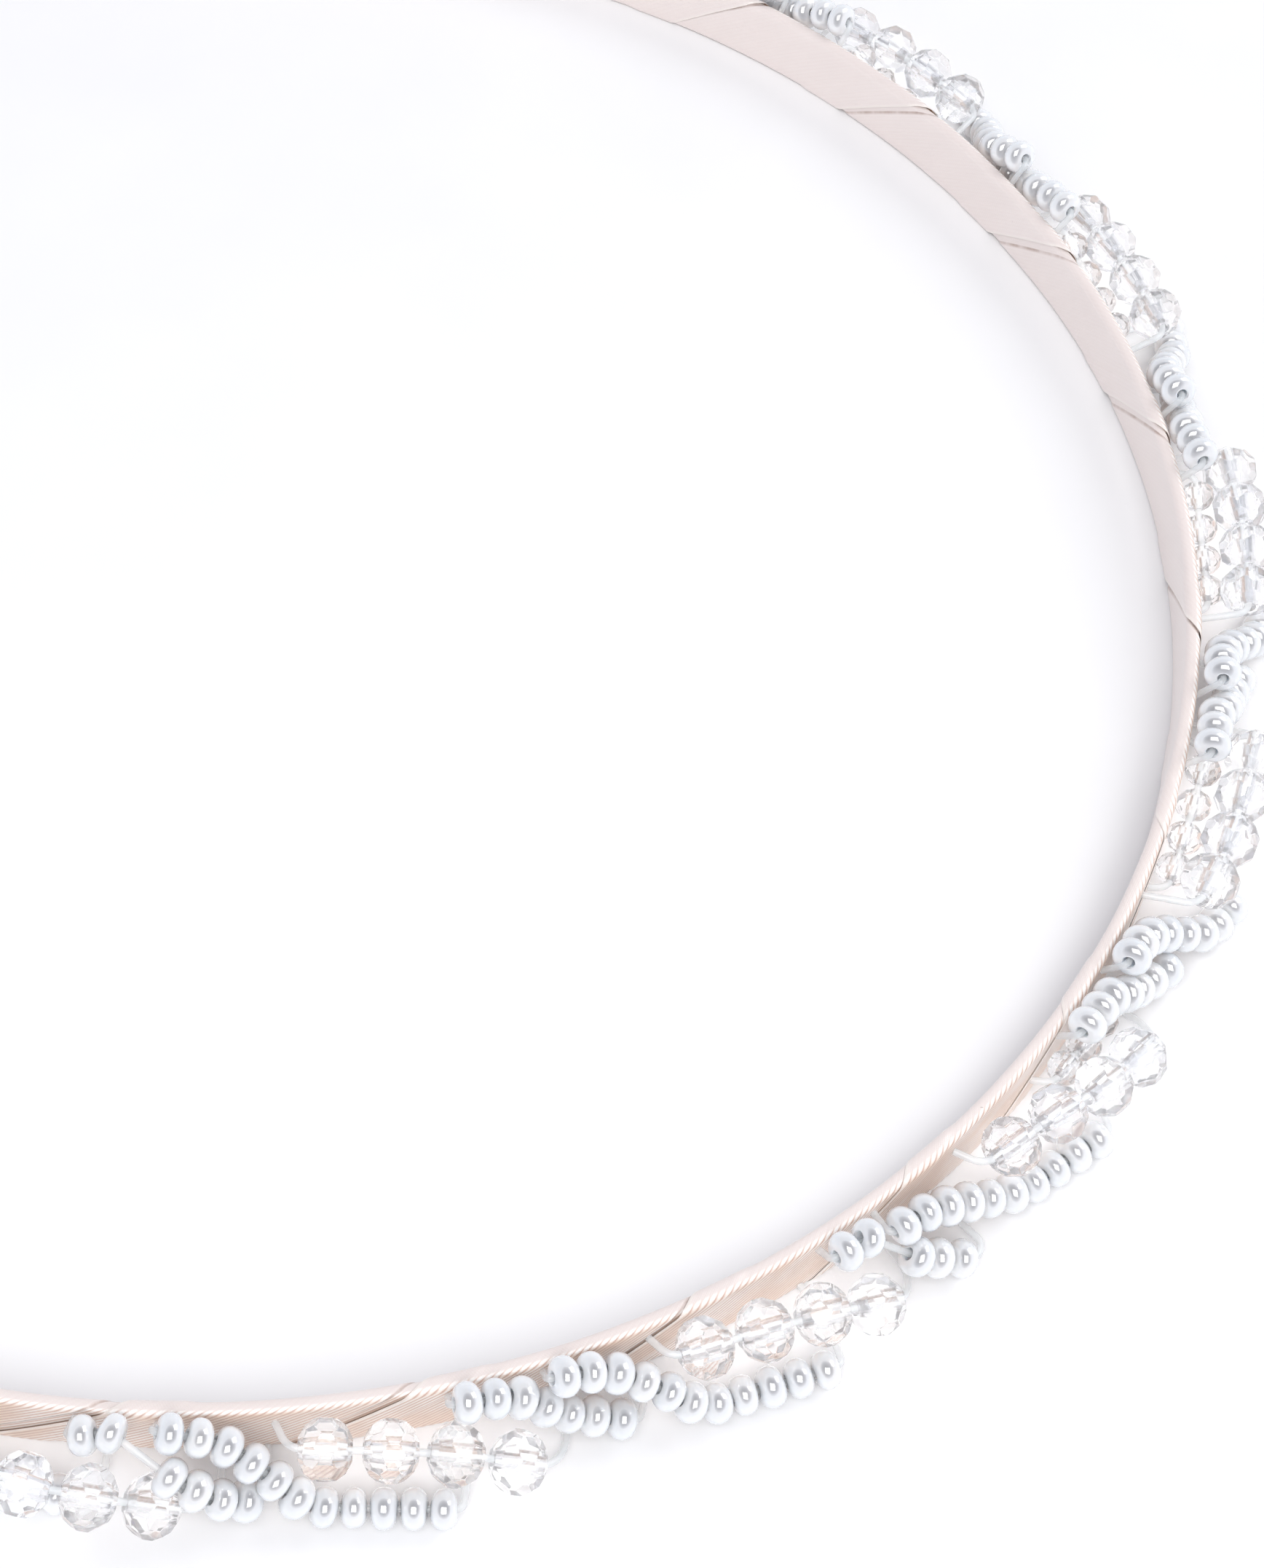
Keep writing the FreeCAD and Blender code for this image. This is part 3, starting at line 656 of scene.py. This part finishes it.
def crystal_template(rng):
    """A round faceted bead of radius 1 with its hole along z and its edges a little bevelled."""
    work = bmesh.new()
    bmesh.ops.create_cube(work, size=CRYSTAL_BLANK)
    planes = [(Vector((0, 0, side)), CRYSTAL_END) for side in (-1, 1)]
    for tilt, shift, reach in FACET_RINGS:
        for index in range(FACETS_PER_RING):
            even_turn = 360.0 / FACETS_PER_RING * (index + shift)
            turn = math.radians(even_turn + rng.uniform(-FACET_TURN_ERROR, FACET_TURN_ERROR))
            lift = math.radians(tilt + rng.uniform(-FACET_TILT_ERROR, FACET_TILT_ERROR))
            normal = Vector((math.cos(lift) * math.cos(turn), math.cos(lift) * math.sin(turn),
                             math.sin(lift)))
            planes.append((normal, reach * rng.uniform(DEEPEST_FACET, 1.0)))
    for normal, reach in planes:
        cut = bmesh.ops.bisect_plane(work, geom=work.verts[:] + work.edges[:] + work.faces[:],
                                     dist=1e-6, plane_co=normal * reach, plane_no=normal,
                                     clear_outer=True)
        rim = [e for e in cut["geom_cut"] if isinstance(e, bmesh.types.BMEdge)]
        bmesh.ops.contextual_create(work, geom=rim)
    bmesh.ops.remove_doubles(work, verts=work.verts, dist=CRYSTAL_WELD)
    bmesh.ops.dissolve_degenerate(work, dist=CRYSTAL_WELD, edges=work.edges)
    bmesh.ops.bevel(work, geom=work.edges[:], offset=CRYSTAL_BEVEL, segments=1, affect="EDGES",
                    clamp_overlap=True)
    ends = sorted((f for f in work.faces if abs(f.normal.z) > 0.99),
                  key=lambda f: -f.calc_area())
    loops = []
    for end in ends[:2]:
        height = end.calc_center_median().z
        outer = end.edges[:]
        work.faces.remove(end)
        ring = [work.verts.new((CRYSTAL_HOLE * math.cos(a), CRYSTAL_HOLE * math.sin(a), height))
                for a in np.arange(HOLE_SIDES) * 2 * math.pi / HOLE_SIDES]
        inner = [work.edges.new((ring[i], ring[i - 1])) for i in range(HOLE_SIDES)]
        bmesh.ops.triangle_fill(work, use_beauty=True, edges=outer + inner)
        loops.append(inner)
    bmesh.ops.bridge_loops(work, edges=loops[0] + loops[1])
    bmesh.ops.recalc_face_normals(work, faces=work.faces)
    work.verts.index_update()
    points = np.array([v.co for v in work.verts])
    faces = [tuple(v.index for v in f.verts) for f in work.faces]
    work.free()
    return points, faces


def make_bead_row(name, node, templates, smooth, slot, material, rng):
    """One object with a detailed bead at each bead of a CAD row."""
    points, local, shade, faces = [], [], [], []
    count = 0
    for index, (centre, turn, radius) in enumerate(bead_places(node)):
        shape, shape_faces = templates[rng.randrange(len(templates))]
        spin = np.array(Matrix.Rotation(rng.uniform(0, 2 * math.pi), 3, "Z"))
        placed = (shape * radius) @ spin.T @ turn.T + centre
        points.append(placed)
        local.append(shape + BEAD_NOISE_GAP * (index + 1))
        shade.append(np.full(len(shape), rng.random()))
        faces += [tuple(count + v for v in face) for face in shape_faces]
        count += len(shape)
    piece = make_object(name, np.concatenate(points), faces, smooth,
                        {"local": np.concatenate(local), "bead": np.concatenate(shade)}, material)
    place_piece(piece, slot, node)


GARLAND_SEED = 4
PEARL_SHAPES, CRYSTAL_SHAPES = 6, 5


def make_garland(materials):
    """Every row of beads, each bead one of a few shapes that differ a little."""
    rng = random.Random(GARLAND_SEED)
    pearls = [pearl_template(rng) for _ in range(PEARL_SHAPES)]
    crystals = [crystal_template(rng) for _ in range(CRYSTAL_SHAPES)]
    for node in sorted(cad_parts):
        if "_row_" not in node:
            continue
        kind, label = node.rsplit("_row_", 1)
        if kind.endswith("pearl"):
            make_bead_row(kind + "s_" + label, node, pearls, True, "pearl", materials["pearl"], rng)
        else:
            make_bead_row(kind + "s_" + label, node, crystals, False, "crystal",
                          materials["crystal"], rng)


# ---- the spring -----------------------------------------------------------------------------
def make_spring(material):
    """The steel strip inside the ribbon, with its long edges just rounded."""
    low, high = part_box("spring_core")
    reach = HALF_LENGTH - SPRING_END_GAP
    stops = np.linspace(-reach, reach, SPRING_STOPS)[:, None]
    middle_d, middle_z = BAND_THICKNESS / 2, (low.z + high.z) / 2
    half_d, half_z = SPRING_THICKNESS / 2, (high.z - low.z) / 2
    angle = np.radians(np.arange(0, 360, 7.5)) + 1e-4        # keeps clear of the signs' zeros
    c, sn = np.cos(angle), np.sin(angle)
    radius = half_d * SPRING_EDGE_ROUND
    d = middle_d + np.sign(c) * (half_d - radius) + radius * c + 0 * stops
    z = middle_z + np.sign(sn) * (half_z - radius) + radius * sn + 0 * stops
    d, z = np.append(d, d[:, :1], axis=1), np.append(z, z[:, :1], axis=1)
    points = band_points(stops + 0 * d, z, d).reshape(-1, 3)
    rows, columns = d.shape
    faces = [tuple(f) for f in grid_faces(rows, columns)]
    faces += [tuple(range(columns - 1))[::-1],
              tuple(range((rows - 1) * columns, rows * columns - 1))]
    strip = make_object("spring_core_strip", points, faces, False, {}, material)
    place_piece(strip, "spring_steel", "spring_core")


# ---- tip covers -----------------------------------------------------------------------------
TIP_AROUND, TIP_RINGS = 64, 30
TIP_PINCH, TIP_PINCH_REACH = 0.35, 0.9 * MM      # share of the thickness left at the end
TIP_RIM_DIP, TIP_RIM_REACH = 0.28, 0.5 * MM      # share of the thickness lost at the rim
TIP_FACE_ROUND, TIP_EDGE_ROUND = 0.55, 0.3
TIP_WEAVE_RADIUS = 2.2 * MM


def make_tip_cover(side, node, material):
    """Folded ribbon over one end of the band, with rounded corners and a soft rim."""
    around, rings = TIP_AROUND, TIP_RINGS
    start = HALF_LENGTH - TIP_COVER_LENGTH
    points, weave = [], []
    half_z, middle_z = BAND_WIDTH / 2, BAND_WIDTH / 2
    half_d, middle_d = BAND_THICKNESS / 2 + TIP_COVER_WALL, BAND_THICKNESS / 2
    for ring in range(rings):
        t = ring / (rings - 1)
        s = start + TIP_COVER_LENGTH * (1 - (1 - t) ** 2)
        to_end = HALF_LENGTH - s
        inset = TIP_COVER_CORNER - math.sqrt(
            max(TIP_COVER_CORNER ** 2 - max(TIP_COVER_CORNER - to_end, 0.0) ** 2, 0.0))
        full = float(smooth_step(0.0, TIP_PINCH_REACH, to_end))
        pinch = TIP_PINCH + (1 - TIP_PINCH) * full
        rim = 1 - float(smooth_step(0.0, TIP_RIM_REACH, s - start))
        lip = 1 - TIP_RIM_DIP * rim
        rim_shade = 0.8 * (1 - smooth_step(0, 0.3 * MM, s - start))
        for k in range(around):
            angle = 2 * math.pi * k / around
            c, sn = math.cos(angle), math.sin(angle)
            d = middle_d + half_d * pinch * lip * math.copysign(abs(c) ** TIP_FACE_ROUND, c)
            z = middle_z + (half_z - inset) * math.copysign(abs(sn) ** TIP_EDGE_ROUND, sn)
            points.append(band_points(side * s, np.array(z), np.array(d)))
            weave.append((s, angle * TIP_WEAVE_RADIUS, rim_shade))
    points.append(band_points(side * HALF_LENGTH, np.array(middle_z), np.array(middle_d)))
    weave.append((HALF_LENGTH, 0.0, 0.0))
    faces = []
    for ring in range(rings - 1):
        for k in range(around):
            after = (k + 1) % around
            faces.append((ring * around + k, ring * around + after,
                          (ring + 1) * around + after, (ring + 1) * around + k))
    last = (rings - 1) * around
    faces += [(last + k, last + (k + 1) % around, len(points) - 1) for k in range(around)]
    faces.append(tuple(range(around))[::-1])
    # outer at 0.5 gives the covers half of the outer face's painted tan, groove shade and rib-top
    # highlights, and no painted fold highlight or lap shadow.
    cover = make_object(node + "_satin", np.array(points), faces, True,
                        {"weave": np.array(weave, float), "outer": np.full(len(points), 0.5),
                         "fold": np.zeros(len(points)), "lap_shadow": np.zeros(len(points))}, material)
    place_piece(cover, "ribbon", node)


# ---- the studio -----------------------------------------------------------------------------
FLOOR_DROP = 0.01 * MM       # just clear of the band's lower edge
WORLD_STRENGTH = 0.86


def make_floor(material):
    """A flat sheet 1.8 m square, just under the band."""
    half = 0.9
    segments = 24
    xs = np.linspace(-half, half, segments)
    points = [(x, y, 0.0) for x in xs for y in xs]
    faces = grid_faces(segments, segments)[:, ::-1]
    floor = make_object("floor", points, faces, True, {}, material)
    floor.location.z = -FLOOR_DROP


def area_light(name, direction, distance, size, power, colour):
    """A softbox that faces the camera's target from one direction."""
    data = bpy.data.lights.new(name, "AREA")
    data.shape = "RECTANGLE"
    data.size, data.size_y = size
    data.energy = power
    data.color = colour
    light = bpy.data.objects.new(name, data)
    direction = Vector(direction).normalized()
    light.location = CAMERA_TARGET + direction * distance
    light.rotation_mode = "QUATERNION"
    light.rotation_quaternion = direction.to_track_quat("Z", "Y")
    bpy.context.scene.collection.objects.link(light)


def make_world():
    """A white room with a greyer ceiling."""
    world = bpy.data.worlds.new("studio")
    world.use_nodes = True
    tree = world.node_tree
    background = tree.nodes["Background"]
    place = tree.nodes.new("ShaderNodeTexCoord")
    split = tree.nodes.new("ShaderNodeSeparateXYZ")
    ramp = tree.nodes.new("ShaderNodeValToRGB")
    stops = ((0.0, (0.925, 0.935, 1.0, 1)), (0.42, (0.905, 0.925, 1.0, 1)),
             (0.62, (0.45, 0.46, 0.51, 1)), (1.0, (0.36, 0.37, 0.42, 1)))
    while len(ramp.color_ramp.elements) < len(stops):
        ramp.color_ramp.elements.new(1.0)
    for element, (position, colour) in zip(ramp.color_ramp.elements, stops):
        element.position = position
        element.color = colour
    tree.links.new(place.outputs["Generated"], split.inputs[0])
    tree.links.new(split.outputs["Z"], ramp.inputs["Fac"])
    tree.links.new(ramp.outputs["Color"], background.inputs["Color"])
    background.inputs["Strength"].default_value = WORLD_STRENGTH
    bpy.context.scene.world = world


def make_studio(materials):
    """The floor, the room's light and two softboxes."""
    make_floor(materials["floor"])
    make_world()
    area_light("softbox", direction=(-0.47, -0.14, 0.85), distance=0.7, size=(0.50, 0.48),
               power=3.1, colour=(1.0, 0.995, 0.98))
    area_light("side_softbox", direction=(0.61, -0.59, 0.85), distance=0.8, size=(0.42, 0.42),
               power=1.8, colour=(1.0, 0.985, 0.97))
    bpy.context.scene.view_settings.view_transform = "Standard"


# ---- everything -----------------------------------------------------------------------------
MATERIALS = {
    "ribbon": satin_material(),
    "pearl": pearl_material(),
    "crystal": crystal_material(),
    "thread": thread_material(),
    "steel": steel_material(),
    "floor": floor_material(),
}
make_ribbon(MATERIALS["ribbon"])
make_garland(MATERIALS)
make_tip_cover(-1, "tip_cover_left", MATERIALS["ribbon"])
make_tip_cover(1, "tip_cover_right", MATERIALS["ribbon"])
make_spring(MATERIALS["steel"])
for cad_node, cad_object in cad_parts.items():
    if cad_node.endswith("threads"):
        cad_object.data.materials.clear()
        cad_object.data.materials.append(MATERIALS["thread"])
make_studio(MATERIALS)
